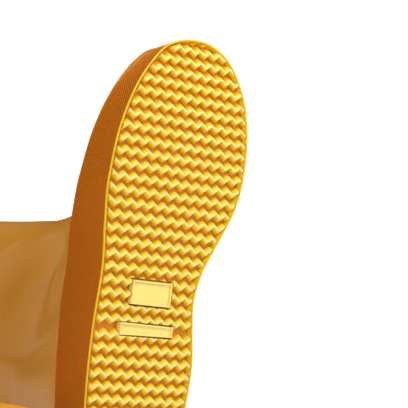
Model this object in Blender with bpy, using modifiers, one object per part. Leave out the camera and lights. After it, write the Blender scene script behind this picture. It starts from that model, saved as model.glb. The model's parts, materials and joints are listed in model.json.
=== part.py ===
"""A pair of rubber deck boots, modelled in metres with +Z up.

The right boot lies on its back, rolled a little to its inner side, with its sole upright and facing -Y.
The left boot stands beside it.
Each boot is drawn in its own frame: +Y runs from heel to toe, +Z runs from sole to collar, and the
sideways coordinate is positive on the outer (lateral) side of the foot.
"""

import bmesh
import bpy
import numpy as np
from math import acos, cos, pi, radians, sin
from mathutils import Matrix, Vector

# Driving dimensions of one boot.
LENGTH = 0.297
HEIGHT = 0.290
GAP = 0.0003

# Edge of the sole, seen from above: (distance from the back of the heel, distance from the centre line).
LATERAL_EDGE = ((0.0, 0.001), (0.006, 0.0195), (0.030, 0.0355), (0.060, 0.0415), (0.100, 0.0452),
                (0.135, 0.0465), (0.162, 0.0509), (0.190, 0.0544), (0.220, 0.0526), (0.250, 0.0436),
                (0.275, 0.0287), (0.288, 0.0157), (LENGTH, -0.0149))
MEDIAL_EDGE = ((0.0, 0.001), (0.006, -0.0185), (0.030, -0.0360), (0.060, -0.0405), (0.085, -0.0392),
               (0.108, -0.0340), (0.125, -0.0312), (0.143, -0.0335), (0.165, -0.0420), (0.190, -0.0514),
               (0.225, -0.0546), (0.260, -0.0509), (0.281, -0.0421), (0.290, -0.0346), (LENGTH, -0.0149))

# The forefoot curves up off the ground from the ball of the foot.
SPRING_START = 0.190
SPRING_RADIUS = 0.300

# Sole unit, from the ground up.
OUTSOLE_THICKNESS = 0.0100
TREAD_DEPTH = 0.0045
TREAD_PITCH = 0.0082
TREAD_RIB = 0.0045
TREAD_RIB_ROOT = 0.0062
HEEL_BREAST = 0.094
HEEL_BREAST_GAP = 0.0125
RIM_WIDTH = 0.0022
RIM_LIFT = 0.0006
FOXING_THICKNESS = 0.0040
FOXING_TOP = ((0.0, 0.0345), (0.046, 0.0358), (0.086, 0.0388), (0.125, 0.0420), (0.155, 0.0408),
              (0.185, 0.0355), (0.215, 0.0315), (0.250, 0.0268), (0.275, 0.0225), (LENGTH, 0.0190))
FILLER_THICKNESS = 0.0045
FILLER_SPLIT = 0.090
BOARD_THICKNESS = 0.0020
FOOTBED_THICKNESS = 0.0040
FOOTBED_CLEARANCE = 0.0030

# Small raised plates under the waist of the sole: (centre forward, centre sideways, length, width).
# They are turned a little, so that their medial ends lie nearer the toe.
WAIST_PANEL = (0.124, 0.0046, 0.0155, 0.0315)
BREAST_BAR = (0.1003, 0.0033, 0.0080, 0.0420)
BAR_TAPER = 0.85
PANEL_TURN = radians(4.5)
PANEL_MARGIN = 0.0012
PANEL_RIM = 0.0010
PANEL_SINK = 0.0010

# Shank in the waist: (start, end, width, thickness).
SHANK = (0.096, 0.172, 0.0140, 0.0012)

# Upper, by height above the sole: front line, back line, how far the sides reach out from the ridge of the
# instep as a share of the sole, and the shaft's half width. The outer side of the instep slopes in more.
# The section turns from the shape of the sole into an oval between the two morph heights.
UPPER_THICKNESS = 0.0022
LINING_THICKNESS = 0.0016
UPPER_INSET = FOXING_THICKNESS + GAP
FRONT_LINE = ((0.010, LENGTH - UPPER_INSET), (0.030, LENGTH - UPPER_INSET), (0.036, 0.2895),
              (0.044, 0.2825), (0.053, 0.2710), (0.061, 0.2540), (0.068, 0.2340), (0.077, 0.2125),
              (0.089, 0.1910), (0.104, 0.1758), (0.122, 0.1675), (0.145, 0.1648), (0.180, 0.1625),
              (0.230, 0.1605), (HEIGHT, 0.1585))
BACK_LINE = ((0.010, UPPER_INSET), (0.036, UPPER_INSET), (0.060, 0.0056), (0.089, 0.0100),
             (0.122, 0.0105), (0.180, 0.0065), (HEIGHT, 0.0018))
INSTEP_SHARE = ((0.010, 1.0), (0.030, 1.0), (0.036, 0.965), (0.046, 0.88), (0.054, 0.77), (0.061, 0.67),
                (0.068, 0.57), (0.077, 0.45), (0.089, 0.34), (0.104, 0.25), (HEIGHT, 0.20))
HEEL_SHARE = ((0.010, 1.0), (0.030, 1.0), (0.036, 0.940), (0.043, 0.930), (0.050, 0.92), (0.061, 0.89),
              (0.077, 0.84), (0.104, 0.74), (HEIGHT, 0.70))
SHAFT_HALF_WIDTH = ((0.010, 0.036), (0.089, 0.0385), (0.122, 0.0405), (0.180, 0.0455), (0.230, 0.0495),
                    (HEIGHT, 0.0520))
RIDGE_AT_TOE = 0.016
RIDGE_BOW = 0.006
SLOPE_START = 0.30
SLOPE_END = 0.75
MORPH_START = 0.036
MORPH_END = 0.145
SLICES = (OUTSOLE_THICKNESS + GAP, 0.030, 0.036, 0.043, 0.050, 0.056, 0.061, 0.068, 0.077, 0.089, 0.104,
          0.122, 0.145, 0.180, 0.230, HEIGHT)
RUNGS = 16

# Layers on the outside of the upper.
TOE_CAP_SLICES = (0.036, 0.043, 0.050, 0.056, 0.061, 0.068)
TOE_CAP_FIRST_RUNG = 11
TOE_CAP_THICKNESS = 0.0014
COUNTER_SLICES = (0.043, 0.050, 0.056, 0.061, 0.068, 0.077, 0.089, 0.104)
COUNTER_LAST_RUNG = 6
COUNTER_THICKNESS = 0.0012
TOP_BAND_HEIGHT = 0.020
TOP_BAND_THICKNESS = 0.0015

# The right boot's roll on its back, and the left boot's place: its toe and its centre line, measured from
# the back of the right boot's heel.
ROLL = radians(13.4)
LEFT_TOE_X = -0.060
LEFT_AXIS_Y = -0.0065

YELLOW = (0.62, 0.36, 0.035)
PALE_YELLOW = (0.70, 0.47, 0.09)
CREAM = (0.72, 0.66, 0.52)
BROWN = (0.23, 0.15, 0.08)
STEEL = (0.55, 0.56, 0.58)
BLACK_FOAM = (0.05, 0.05, 0.055)


def clear_scene():
    for item in list(bpy.data.objects):
        bpy.data.objects.remove(item, do_unlink=True)


def new_collection(name):
    collection = bpy.data.collections.new(name)
    bpy.context.scene.collection.children.link(collection)
    return collection


def make_material(name, color, roughness, metallic=0.0):
    material = bpy.data.materials.new(name)
    material.use_nodes = True
    shader = material.node_tree.nodes["Principled BSDF"]
    shader.inputs["Base Color"].default_value = (*color, 1.0)
    shader.inputs["Roughness"].default_value = roughness
    shader.inputs["Metallic"].default_value = metallic
    return material


def smooth_value(points, position):
    """Value at one position of a curve that passes smoothly through (position, value) points."""
    xs, ys = np.array(points, dtype=float).T
    position = min(max(position, xs[0]), xs[-1])
    steps = np.diff(xs)
    slopes = np.diff(ys) / steps
    tangents = np.concatenate(([slopes[0]], (slopes[:-1] + slopes[1:]) / 2, [slopes[-1]]))
    turning = np.concatenate(([False], slopes[:-1] * slopes[1:] <= 0, [False]))
    tangents[turning] = 0.0
    index = min(int(np.searchsorted(xs, position, side="right")) - 1, len(steps) - 1)
    t = (position - xs[index]) / steps[index]
    start = ys[index] * (1 + 2 * t) + tangents[index] * steps[index] * t
    end = ys[index + 1] * (3 - 2 * t) - tangents[index + 1] * steps[index] * (1 - t)
    return start * (1 - t) ** 2 + end * t ** 2


def smooth_step(low, high, value):
    """Rises smoothly from 0 at the low value to 1 at the high one."""
    t = min(max((value - low) / (high - low), 0.0), 1.0)
    return t * t * (3 - 2 * t)


def spring(forward):
    """Height that the toe spring lifts the sole by."""
    run = max(forward - SPRING_START, 0.0)
    return run ** 2 / (2 * SPRING_RADIUS)


def offset_edge(points, inset, toward):
    """One edge of the sole, moved inwards: arrays of forward and sideways positions."""
    by_angle = [(acos(1 - 2 * forward / LENGTH), side) for forward, side in points]
    angles = np.linspace(0.0, pi, 241)
    forward = LENGTH * (1 - np.cos(angles)) / 2
    side = np.array([smooth_value(by_angle, angle) for angle in angles])
    tangent = np.stack([np.gradient(side), np.gradient(forward)])
    tangent /= np.linalg.norm(tangent, axis=0)
    moved_side = side - toward * inset * tangent[1]
    moved_forward = forward + toward * inset * tangent[0]
    order = np.argsort(moved_forward)
    return moved_forward[order], moved_side[order]


EDGE_CACHE = {}


def edges(forward, inset):
    """Lateral and medial edge of the sole at one station, both moved inwards by an inset."""
    key = round(inset, 6)
    if key not in EDGE_CACHE:
        EDGE_CACHE[key] = (offset_edge(LATERAL_EDGE, inset, 1), offset_edge(MEDIAL_EDGE, inset, -1))
    lateral, medial = EDGE_CACHE[key]
    return float(np.interp(forward, *lateral)), float(np.interp(forward, *medial))


def footprint(inset, start=0.0, end=LENGTH):
    """Lateral and medial side of the sole's outline, heel first, cut off straight at start and end."""
    low, high = inset, LENGTH - inset
    stations = [low + (high - low) * (1 - cos(pi * rung / RUNGS)) / 2 for rung in range(RUNGS + 1)]
    lateral, medial = (list(side) for side in zip(*(edges(forward, inset) for forward in stations)))
    for tip in (0, -1):
        lateral[tip] = medial[tip] = (lateral[tip] + medial[tip]) / 2
    kept = [forward for forward in stations if start <= forward <= end]
    if start > low:
        kept = [start] + kept
    if end < high:
        kept = kept + [end]
    return ([(float(np.interp(forward, stations, lateral)), forward) for forward in kept],
            [(float(np.interp(forward, stations, medial)), forward) for forward in kept])


def loop_points(lateral_side, medial_side, height):
    """Points of a closed loop on the sprung sole; height is a number or a function of the station."""
    points = list(lateral_side)
    returning = list(reversed(medial_side))
    if returning[0] == points[-1]:
        returning = returning[1:]
    if returning[-1] == points[0]:
        returning = returning[:-1]
    points += returning
    rise = height if callable(height) else (lambda forward: height)
    return [Vector((side, forward, rise(forward) + spring(forward))) for side, forward in points]


def upper_loop(height):
    """Outline of the upper at one height: the sole's shape low down, an oval at the shaft."""
    front = smooth_value(FRONT_LINE, height)
    back = smooth_value(BACK_LINE, height)
    half_width = smooth_value(SHAFT_HALF_WIDTH, height)
    morph = smooth_step(MORPH_START, MORPH_END, height)
    heel_share = smooth_value(HEEL_SHARE, height)
    instep_share = smooth_value(INSTEP_SHARE, height)
    lateral_sole, medial_sole = footprint(UPPER_INSET)
    sides = []
    for sign, sole in ((1, lateral_sole), (-1, medial_sole)):
        side_points = []
        for step in range(RUNGS + 1):
            angle = pi * step / RUNGS
            travel = (1 - cos(angle)) / 2
            forward = back + (front - back) * travel
            ridge = LATERAL_EDGE[0][1] - RIDGE_AT_TOE * travel - RIDGE_BOW * sin(angle) ** 2
            slope = smooth_step(SLOPE_START, SLOPE_END, travel) if sign > 0 else 0.0
            share = heel_share * (1 - slope) + instep_share * slope
            low_down = ridge + (sole[step][0] - ridge) * share
            from_oval = sign * half_width * sin(angle)
            side_points.append(((1 - morph) * low_down + morph * from_oval, forward))
        sides.append(side_points)
    sides[1][0] = sides[0][0]
    sides[1][-1] = sides[0][-1]
    return loop_points(sides[0], sides[1], height)


def add_loop(mesh, points):
    return [mesh.verts.new(point) for point in points]


def bridge(mesh, lower, upper, closed=True):
    """Quads between two rows of vertices with the same number of points."""
    count = len(lower)
    for index in range(count if closed else count - 1):
        following = (index + 1) % count
        mesh.faces.new((lower[index], lower[following], upper[following], upper[index]))


def cap(mesh, loop, pointed_heel, pointed_toe, facing_up):
    """Closes a footprint loop with strips that run straight across the sole."""
    rungs = (len(loop) + pointed_heel + pointed_toe) // 2
    shift = 0 if pointed_heel else 1
    medial = [loop[-rung - shift] for rung in range(rungs)]
    for rung in range(rungs - 1):
        corners = (loop[rung], loop[rung + 1], medial[rung + 1], medial[rung])
        corners = list(dict.fromkeys(corners))
        mesh.faces.new(corners if facing_up else corners[::-1])


class Boot:
    """Builds the nodes of one boot; side is +1 for the right boot and -1 for the left."""

    def __init__(self, name, side, holder, parts, cutters):
        self.name = name
        self.side = side
        self.holder = holder
        self.parts = parts
        self.cutters = cutters

    def finish(self, mesh, piece, material, collection=None):
        """Turns a bmesh into an object of this boot, mirrored for the left boot."""
        if self.side < 0:
            bmesh.ops.scale(mesh, verts=mesh.verts, vec=(-1, 1, 1))
            bmesh.ops.reverse_faces(mesh, faces=mesh.faces)
        data = bpy.data.meshes.new(f"{self.name}_{piece}")
        mesh.to_mesh(data)
        mesh.free()
        item = bpy.data.objects.new(f"{self.name}_{piece}", data)
        (collection or self.parts).objects.link(item)
        item.parent = self.holder
        if material:
            data.materials.append(material)
            data.shade_smooth()
            data.set_sharp_from_angle(angle=radians(35))
        return item

    def cutter(self, mesh, piece):
        item = self.finish(mesh, piece, None, self.cutters)
        item.hide_render = True
        item.display_type = "WIRE"
        return item

    def plate(self, piece, material, inset, low, high, start=0.0, end=LENGTH):
        """A flat layer of the sole unit that follows the toe spring."""
        lateral_side, medial_side = footprint(inset, start=start, end=end)
        pointed_heel = start <= inset
        pointed_toe = end >= LENGTH - inset
        mesh = bmesh.new()
        bottom = add_loop(mesh, loop_points(lateral_side, medial_side, low))
        top = add_loop(mesh, loop_points(lateral_side, medial_side, high))
        bridge(mesh, bottom, top)
        cap(mesh, bottom, pointed_heel, pointed_toe, facing_up=False)
        cap(mesh, top, pointed_heel, pointed_toe, facing_up=True)
        return self.finish(mesh, piece, material)

    def ring(self, piece, material, outer_inset, inner_inset, low, high):
        """A band that runs all the way round the sole's edge."""
        mesh = bmesh.new()
        outer = footprint(outer_inset)
        inner = footprint(inner_inset)
        loops = [add_loop(mesh, loop_points(*outer, low)), add_loop(mesh, loop_points(*outer, high)),
                 add_loop(mesh, loop_points(*inner, high)), add_loop(mesh, loop_points(*inner, low))]
        for index, loop in enumerate(loops):
            bridge(mesh, loop, loops[(index + 1) % len(loops)])
        return self.finish(mesh, piece, material)

    def shell(self, piece, material, heights, depth, thickness, outward=False, rungs=None, sole=None):
        """A layer of the upper: depth is how far below the upper's surface it starts."""
        mesh = bmesh.new()
        rows = []
        for height in heights:
            points = upper_loop(height)
            if rungs is not None:
                points = [points[rung % len(points)] for rung in rungs]
            rows.append(add_loop(mesh, points))
        for lower, upper in zip(rows[:-1], rows[1:]):
            bridge(mesh, lower, upper, closed=rungs is None)
        if sole:
            cap(mesh, rows[0], True, True, facing_up=False)
        mesh.normal_update()
        moves = [vertex.normal * depth * vertex.calc_shell_factor() for vertex in mesh.verts]
        for vertex, move in zip(mesh.verts, moves):
            vertex.co -= move
        item = self.finish(mesh, piece, material)
        solid = item.modifiers.new("thickness", "SOLIDIFY")
        solid.thickness = thickness
        solid.offset = 1.0 if outward else -1.0
        solid.use_even_offset = True
        solid.use_quality_normals = True
        return item

    def cut(self, item, cutter, operation):
        step = item.modifiers.new(operation.lower(), "BOOLEAN")
        step.object = cutter
        step.operation = operation
        step.solver = "EXACT"

    def block(self, centre, length, width, low, high, turn=0.0, taper=1.0):
        """A block on the sole: centre is (forward, sideways), and taper shortens its medial end."""
        mesh = bmesh.new()
        bmesh.ops.create_cube(mesh, size=1.0)
        bmesh.ops.scale(mesh, verts=mesh.verts, vec=(width, length, high - low))
        for vertex in mesh.verts:
            if vertex.co.x < 0:
                vertex.co.y *= taper
        bmesh.ops.rotate(mesh, verts=mesh.verts, cent=(0, 0, 0), matrix=Matrix.Rotation(-turn, 3, "Z"))
        bmesh.ops.translate(mesh, verts=mesh.verts, vec=(centre[1], centre[0], (low + high) / 2))
        return mesh

    def tread_profile(self):
        """Side view of the outsole: a plain top line and a ribbed bottom line."""
        reach = 0.012
        bottom = [(-reach, TREAD_DEPTH)]
        half_top, half_root = TREAD_RIB / 2, TREAD_RIB_ROOT / 2
        first_front = HEEL_BREAST + HEEL_BREAST_GAP + half_root
        heel_centres = np.arange(HEEL_BREAST - half_root, 0.0, -TREAD_PITCH)[::-1]
        front_centres = np.arange(first_front, LENGTH - half_root, TREAD_PITCH)
        for centre in np.concatenate((heel_centres, front_centres)):
            bottom += [(centre - half_root, TREAD_DEPTH), (centre - half_top, 0.0),
                       (centre + half_top, 0.0), (centre + half_root, TREAD_DEPTH)]
        bottom.append((LENGTH + reach, TREAD_DEPTH))
        tops = [-reach] + list(np.linspace(SPRING_START, LENGTH + reach, 12))
        outline = [(forward, height) for forward, height in bottom]
        outline += [(forward, OUTSOLE_THICKNESS) for forward in reversed(tops)]
        return [Vector((0.0, forward, height + spring(forward))) for forward, height in outline]

    def outsole(self, material):
        half_width = 0.075
        prism = bmesh.new()
        face = prism.faces.new(add_loop(prism, self.tread_profile()))
        extruded = bmesh.ops.extrude_face_region(prism, geom=[face])["geom"]
        moved = [part for part in extruded if isinstance(part, bmesh.types.BMVert)]
        bmesh.ops.translate(prism, verts=prism.verts, vec=(-half_width, 0, 0))
        bmesh.ops.translate(prism, verts=moved, vec=(2 * half_width, 0, 0))
        bmesh.ops.recalc_face_normals(prism, faces=prism.faces)
        profile = self.cutter(prism, "tread_profile")

        mesh = bmesh.new()
        lateral_side, medial_side = footprint(RIM_WIDTH + GAP)
        flat = [Vector((point.x, point.y, 0.0)) for point in loop_points(lateral_side, medial_side, 0.0)]
        bottom = add_loop(mesh, [point - Vector((0, 0, 0.01)) for point in flat])
        top = add_loop(mesh, [point + Vector((0, 0, 0.06)) for point in flat])
        bridge(mesh, bottom, top)
        mesh.faces.new(bottom[::-1])
        mesh.faces.new(top)
        item = self.finish(mesh, "outsole", material)
        self.cut(item, profile, "INTERSECT")

        forward, sideways, length, width = WAIST_PANEL
        pocket = self.block((forward, sideways), length + 2 * PANEL_MARGIN, width + 2 * PANEL_MARGIN,
                            -TREAD_DEPTH, TREAD_DEPTH, turn=PANEL_TURN)
        self.cut(item, self.cutter(pocket, "panel_pocket"), "DIFFERENCE")
        return item

    def tray(self, piece, material, place, taper=1.0):
        """Raised blank plate under the waist, its floor sunk inside a thin rim."""
        forward, sideways, length, width = place
        mesh = self.block((forward, sideways), length, width, 0.0, TREAD_DEPTH - GAP,
                          turn=PANEL_TURN, taper=taper)
        mesh.normal_update()
        floor = [face for face in mesh.faces if face.normal.z < -0.5]
        bmesh.ops.inset_region(mesh, faces=floor, thickness=PANEL_RIM)
        bmesh.ops.translate(mesh, verts=floor[0].verts, vec=(0, 0, PANEL_SINK))
        return self.finish(mesh, piece, material)

    def midsole_filler(self, material, low, high):
        item = self.plate("midsole_filler", material, UPPER_INSET + UPPER_THICKNESS + GAP, low, high,
                          start=FILLER_SPLIT + GAP)
        start, end, width, thickness = SHANK
        slot = self.block(((start + end) / 2, 0.0), end - start + 2 * GAP, width + 2 * GAP,
                          high - thickness - 2 * GAP, high + thickness)
        self.cut(item, self.cutter(slot, "shank_slot"), "DIFFERENCE")
        return item

    def shank(self, material, high):
        start, end, width, thickness = SHANK
        mesh = self.block(((start + end) / 2, 0.0), end - start, width, high - thickness, high)
        return self.finish(mesh, "shank", material)

    def build(self, materials):
        rubber, sole_rubber, knit = materials["upper"], materials["sole"], materials["lining"]
        filler_low = OUTSOLE_THICKNESS + GAP
        filler_high = filler_low + FILLER_THICKNESS
        board_low = filler_high + GAP
        board_high = board_low + BOARD_THICKNESS
        lining_low = board_high + GAP
        footbed_low = lining_low + LINING_THICKNESS + GAP
        inner_inset = UPPER_INSET + UPPER_THICKNESS + GAP
        footbed_inset = inner_inset + LINING_THICKNESS + FOOTBED_CLEARANCE

        self.outsole(sole_rubber)
        self.ring("sole_rim", sole_rubber, 0.0, RIM_WIDTH, RIM_LIFT, OUTSOLE_THICKNESS)
        self.ring("foxing", materials["foxing"], 0.0, FOXING_THICKNESS, OUTSOLE_THICKNESS + GAP,
                  lambda forward: smooth_value(FOXING_TOP, forward))
        self.tray("waist_panel", sole_rubber, WAIST_PANEL)
        self.tray("breast_bar", sole_rubber, BREAST_BAR, taper=BAR_TAPER)
        self.plate("heel_filler", materials["filler"], inner_inset, filler_low, filler_high,
                   end=FILLER_SPLIT)
        self.midsole_filler(materials["filler"], filler_low, filler_high)
        self.shank(materials["steel"], filler_high)
        self.plate("insole_board", materials["board"], inner_inset, board_low, board_high)
        self.plate("footbed", materials["foam"], footbed_inset, footbed_low,
                   footbed_low + FOOTBED_THICKNESS)

        self.shell("upper", rubber, SLICES, 0.0, UPPER_THICKNESS)
        lining_depth = UPPER_THICKNESS + GAP
        lining_slices = (lining_low - lining_depth,) + SLICES[2:-1] + (HEIGHT - GAP,)
        self.shell("lining", knit, lining_slices, lining_depth, LINING_THICKNESS, sole=True)
        toe_rungs = range(TOE_CAP_FIRST_RUNG, 2 * RUNGS - TOE_CAP_FIRST_RUNG + 1)
        self.shell("toe_cap", rubber, TOE_CAP_SLICES, -GAP, TOE_CAP_THICKNESS, outward=True,
                   rungs=toe_rungs)
        heel_rungs = range(-COUNTER_LAST_RUNG, COUNTER_LAST_RUNG + 1)
        self.shell("heel_counter", rubber, COUNTER_SLICES, -GAP, COUNTER_THICKNESS, outward=True,
                   rungs=heel_rungs)
        self.shell("top_band", rubber, (HEIGHT - TOP_BAND_HEIGHT, HEIGHT), -GAP, TOP_BAND_THICKNESS,
                   outward=True)


def new_holder(name, location, rotation, collection):
    holder = bpy.data.objects.new(name, None)
    holder.location = location
    holder.rotation_euler = rotation
    collection.objects.link(holder)
    return holder


def box_of(items):
    """Lowest and highest corner of the finished shapes of some objects, in world space."""
    view = bpy.context.evaluated_depsgraph_get()
    corners = []
    for item in items:
        shape = item.evaluated_get(view)
        corners += [shape.matrix_world @ vertex.co for vertex in shape.data.vertices]
    places = np.array(corners)
    return Vector(places.min(axis=0)), Vector(places.max(axis=0))


def settle(holders, parts):
    """Stands each boot on the ground and centres the pair on the origin."""
    for holder in holders:
        lowest, highest = box_of([item for item in parts.objects if item.parent == holder])
        holder.location.z -= lowest.z
    bpy.context.view_layer.update()
    lowest, highest = box_of([item for item in parts.objects if item.parent])
    middle = (lowest + highest) / 2
    for holder in holders:
        holder.location -= Vector((middle.x, middle.y, 0.0))


def main():
    clear_scene()
    parts = new_collection("deck_boots")
    cutters = new_collection("cutters")
    materials = {
        "upper": make_material("upper_rubber", YELLOW, 0.25),
        "foxing": make_material("foxing_rubber", YELLOW, 0.5),
        "sole": make_material("sole_rubber", PALE_YELLOW, 0.5),
        "lining": make_material("lining_knit", CREAM, 0.9),
        "filler": make_material("filler_rubber", BROWN, 0.8),
        "board": make_material("insole_board", BROWN, 0.9),
        "foam": make_material("footbed_foam", BLACK_FOAM, 0.9),
        "steel": make_material("shank_steel", STEEL, 0.35, metallic=1.0),
    }
    right = new_holder("right_boot", (0.0, 0.0, 0.0), (pi / 2, -ROLL, pi), parts)
    left_place = (LEFT_TOE_X - LENGTH, LEFT_AXIS_Y, 0.0)
    left = new_holder("left_boot", left_place, (0.0, 0.0, -pi / 2), parts)
    Boot("right", 1, right, parts, cutters).build(materials)
    Boot("left", -1, left, parts, cutters).build(materials)
    settle((right, left), parts)


main()
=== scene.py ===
"""Visual model of a pair of yellow rubber deck boots, on a white studio floor.

Every piece is drawn in the frame of its boot and then placed on its CAD body: +Y runs from heel to toe,
+Z from sole to collar, and +X to the outer (lateral) side of the foot. The left boot is the mirror image.
"""

import json

import bmesh
import bpy
import numpy as np
from math import cos, pi, radians, sin
from mathutils import Euler, Matrix, Vector


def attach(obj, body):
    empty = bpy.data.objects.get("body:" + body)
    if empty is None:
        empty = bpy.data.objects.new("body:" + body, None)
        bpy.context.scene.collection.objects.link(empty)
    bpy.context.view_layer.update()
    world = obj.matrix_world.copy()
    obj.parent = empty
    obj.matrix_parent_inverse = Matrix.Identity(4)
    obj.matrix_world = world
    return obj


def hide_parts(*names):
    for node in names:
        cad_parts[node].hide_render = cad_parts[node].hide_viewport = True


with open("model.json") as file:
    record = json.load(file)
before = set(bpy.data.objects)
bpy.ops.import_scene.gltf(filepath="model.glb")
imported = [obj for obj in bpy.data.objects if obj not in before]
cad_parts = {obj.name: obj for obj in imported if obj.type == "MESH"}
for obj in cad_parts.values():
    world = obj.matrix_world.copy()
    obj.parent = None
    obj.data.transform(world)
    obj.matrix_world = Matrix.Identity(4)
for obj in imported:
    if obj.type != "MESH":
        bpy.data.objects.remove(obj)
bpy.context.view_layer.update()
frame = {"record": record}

MM = 0.001
LENGTH = 0.297
HEIGHT = 0.290
GAP = 0.0003

# Edge of the sole: (distance from the back of the heel, distance from the centre line).
LATERAL_EDGE = ((0.0, 0.001), (0.006, 0.0195), (0.030, 0.0355), (0.060, 0.0415), (0.100, 0.0452),
                (0.135, 0.0465), (0.162, 0.0509), (0.190, 0.0544), (0.220, 0.0526), (0.250, 0.0436),
                (0.275, 0.0287), (0.288, 0.0157), (LENGTH, -0.0149))
MEDIAL_EDGE = ((0.0, 0.001), (0.006, -0.0185), (0.030, -0.0360), (0.060, -0.0405), (0.085, -0.0392),
               (0.108, -0.0340), (0.125, -0.0312), (0.143, -0.0335), (0.165, -0.0420), (0.190, -0.0514),
               (0.225, -0.0546), (0.260, -0.0509), (0.281, -0.0421), (0.290, -0.0346), (LENGTH, -0.0149))
OUTLINE_ANGLES = 1201
OUTLINE_POINTS = 2400
SPRING_START = 0.190
SPRING_RADIUS = 0.300

# Sole unit.
OUTSOLE_THICKNESS = 0.0100
RIM_WIDTH = 0.0022
FOXING_THICKNESS = 0.0040
FOXING_TOP = ((0.0, 0.0345), (0.046, 0.0358), (0.086, 0.0388), (0.125, 0.0420), (0.155, 0.0408),
              (0.185, 0.0355), (0.215, 0.0315), (0.250, 0.0268), (0.275, 0.0225), (LENGTH, 0.0190))
FOXING_LEAN = 0.0033
LEAN_START = 0.240
LEAN_END = 0.288
KNURL_COUNT = 300
KNURL_DEPTH = 0.00050
KNURL_BASE = 0.00025
KNURL_MIX = (0.62, 0.38)
COLUMNS_PER_BEAD = 4
WALL_LOW = 0.0022
WALL_ROWS = 17
BAND_ROWS = 46
LIP_DROP = 0.0029

# Sections in millimetres: bead (inset, height) and lip (inset, height above the band's top).
BEAD_SECTION = ((2.2, 10.0), (2.2, 3.2), (1.7, 2.9), (1.4, 1.9), (1.2, 1.0), (0.95, 0.65), (0.6, 0.55),
                (0.25, 0.7), (0.05, 1.15), (0.1, 1.75), (0.45, 2.1))
LIP_SECTION = ((0.30, -2.7), (-0.15, -2.35), (-0.30, -1.6), (-0.20, -0.9), (0.2, -0.35), (0.9, 0.0),
               (1.9, -0.05), (3.0, -0.5), (4.2, -1.3), (5.2, -2.8))

# Tread: zigzag ridges that run across the sole, turned a little so that they rise towards the inner side.
TREAD_TURN = radians(4.5)
TREAD_ORIGIN = 0.170
TREAD_PITCH = 0.0082
ZIGZAG_PERIOD = 0.0085
ZIGZAG_RISE = 0.0032
TREAD_DEPTH = 0.0042
RIDGE_OFFSET = 0.00205
FIRST_FOREFOOT_RIDGE = -8
HEEL_RIDGE = -9.28
# Section of a ridge: (distance from its middle in millimetres, share of the groove's depth).
RIDGE_SECTION = ((-3.40, 1.0), (-3.10, 0.95), (-0.95, 0.09), (-0.75, 0.02), (-0.55, 0.0),
                 (0.55, 0.0), (0.75, 0.02), (0.95, 0.09), (3.10, 0.95), (3.40, 1.0))
TOE_ROW_LIMIT = 0.150
TREAD_REACH = (-0.200, 0.165)
OUTSOLE_POINTS = 480
SPRING_CUT_STEP = 0.006
POCKET_DEPTH = 0.0050

# Raised plates under the waist: (centre forward, centre sideways, length, width).
WAIST_PANEL = (0.124, 0.0046, 0.0155, 0.0315)
BREAST_BAR = (0.1003, 0.0033, 0.0080, 0.0420)
BAR_TAPER = 0.85
PLATE_RIM = 0.0010
PLATE_SINK = 0.0012
PLATE_HEIGHT = 0.0042
PLATE_MARGIN = 0.0012

# Upper, by height above the sole.
UPPER_THICKNESS = 0.0022
LINING_THICKNESS = 0.0016
UPPER_INSET = FOXING_THICKNESS + GAP
FRONT_LINE = ((0.010, LENGTH - UPPER_INSET), (0.030, LENGTH - UPPER_INSET), (0.036, 0.2895),
              (0.044, 0.2825), (0.053, 0.2710), (0.061, 0.2540), (0.068, 0.2340), (0.077, 0.2125),
              (0.089, 0.1910), (0.104, 0.1758), (0.122, 0.1675), (0.145, 0.1648), (0.180, 0.1625),
              (0.230, 0.1605), (HEIGHT, 0.1585))
BACK_LINE = ((0.010, UPPER_INSET), (0.036, UPPER_INSET), (0.060, 0.0056), (0.089, 0.0100),
             (0.122, 0.0105), (0.180, 0.0065), (HEIGHT, 0.0018))
INSTEP_SHARE = ((0.010, 1.0), (0.030, 1.0), (0.036, 0.965), (0.046, 0.88), (0.054, 0.77), (0.061, 0.67),
                (0.068, 0.57), (0.077, 0.45), (0.089, 0.34), (0.104, 0.25), (HEIGHT, 0.20))
HEEL_SHARE = ((0.010, 1.0), (0.030, 1.0), (0.036, 0.940), (0.043, 0.930), (0.050, 0.92), (0.061, 0.89),
              (0.077, 0.84), (0.104, 0.74), (HEIGHT, 0.70))
SHAFT_HALF_WIDTH = ((0.010, 0.036), (0.089, 0.0385), (0.122, 0.0405), (0.180, 0.0455), (0.230, 0.0495),
                    (HEIGHT, 0.0520))
RIDGE_AT_TOE = 0.016
RIDGE_BOW = 0.006
SLOPE_START = 0.30
SLOPE_END = 0.75
MORPH_START = 0.036
MORPH_END = 0.145
TOP_BAND_HEIGHT = 0.020
TOP_BAND_THICKNESS = 0.0015
TOE_CAP_THICKNESS = 0.0014
COUNTER_THICKNESS = 0.0012
LINING_START = 0.0174
UPPER_COLUMNS = 240
LAYER_COLUMNS = 90
CUFF_ROUNDING = 0.0004
TOE_CAP_TURNS = (11 / 32, 21 / 32)
TOE_CAP_HEIGHTS = (0.036, 0.068)
COUNTER_TURNS = (-6 / 32, 6 / 32)
COUNTER_HEIGHTS = (0.043, 0.104)

FOOTBED_LOW = 0.0193
FOOTBED_INSET = 0.0114
FOOTBED_THICKNESS = 0.0040

ROLL = radians(13.4)
MOUNT_FORWARD = 0.0581
BOOT_PLACE = "boot_place"
# Groove mark that the rubber paints highlight and shade from; the flank colour sits at FLANK_DEPTH, and
# plain rows get a set share of painted shade.
GROOVE = "groove"
FLANK_DEPTH = 0.4
PLAIN_ROW_SHADE = 0.5

CAMERA_OFFSET = (-0.5595, -0.79855, 0.23316)
CAMERA_AZIMUTH = radians(-38.1)
CAMERA_ELEVATION = radians(3.1)
CAMERA_LENS = 136.3

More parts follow.
